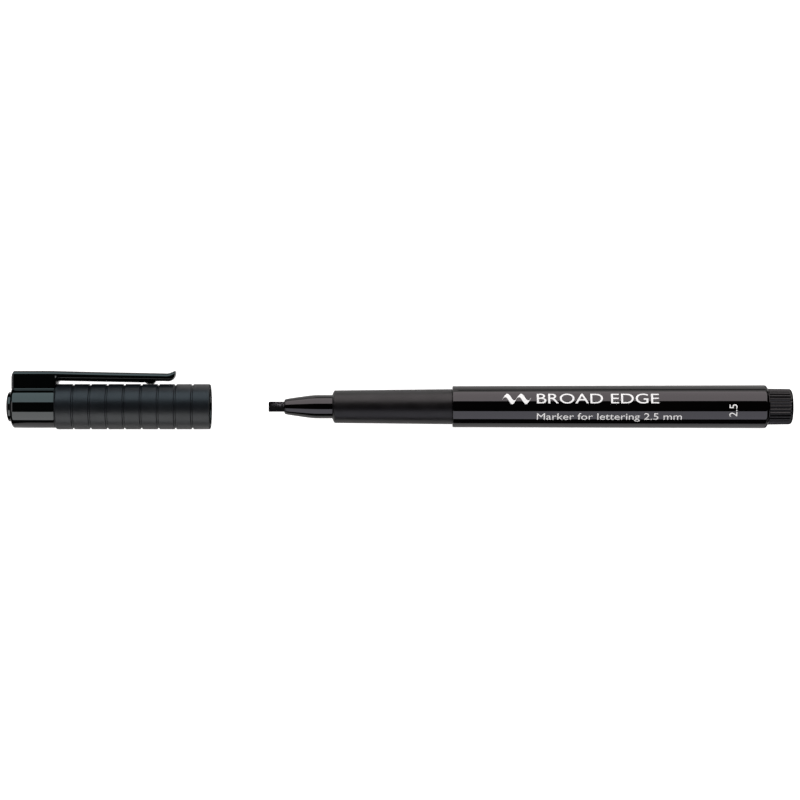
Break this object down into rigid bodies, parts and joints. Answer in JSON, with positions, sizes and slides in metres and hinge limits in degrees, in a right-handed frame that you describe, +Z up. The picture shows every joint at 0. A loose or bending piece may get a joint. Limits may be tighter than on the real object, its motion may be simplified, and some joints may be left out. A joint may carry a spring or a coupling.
{
  "type": "calligraphy marker",
  "caption": "Chisel-nib calligraphy marker with a tapered grip, a fluted rear plug and a ribbed pull-off cap with a side clip, lying uncapped in line with its cap.",
  "frame": {"origin": "centre of the rear plug's flat end face, on the pen's axis", "axes": "+X along the pen's axis and out of the rear end, so the nib and the cap lie towards -X; +Y the way the clip stands out of the cap; +Z up, away from the surface that the marker lies on, and the side that carries the print"},
  "size_m": [0.2005, 0.015, 0.0116],
  "materials": {
    "barrel_gloss": "polished black",
    "cap_gloss": "polished black",
    "grip_matt": "fine spark-eroded matt black",
    "sleeve_matt": "soft matt black, grooved",
    "plug_matt": "matt black, fluted",
    "nib_fibre": "pressed fibre, soaked in black ink",
    "ink_fibre": "bundled fibre, soaked in black ink",
    "wrap_film": "thin clear film",
    "seal_plastic": "soft black"
  },
  "bodies": {
    "pen": {"barrel_tube": "barrel_gloss", "grip_section": "grip_matt", "nib_holder": "barrel_gloss", "chisel_nib": "nib_fibre", "ink_reservoir": "ink_fibre", "reservoir_film": "wrap_film", "rear_plug": "plug_matt"},
    "seal": {"cap_seal": "seal_plastic"},
    "cap": {"cap_shell": "cap_gloss", "cap_sleeve": "sleeve_matt", "cap_end_plug": "cap_gloss"},
    "clip": {"clip_arm": "cap_gloss"}
  },
  "joints": [
    {"name": "cap_slide", "type": "slide", "parent": "pen", "child": "seal", "axis": [1, 0, 0], "range_m": [0, 0.0616]},
    {"name": "cap_turn", "type": "hinge", "parent": "seal", "child": "cap", "pos_m": [-0.17, 0, 0], "axis": [1, 0, 0], "continuous": true},
    {"name": "clip_flex", "type": "hinge", "parent": "cap", "child": "clip", "pos_m": [-0.18785, 0.0079, 0], "axis": [0, 0, 1], "range_deg": [0, 6], "stiffness_Nm_per_rad": 1.2}
  ]
}
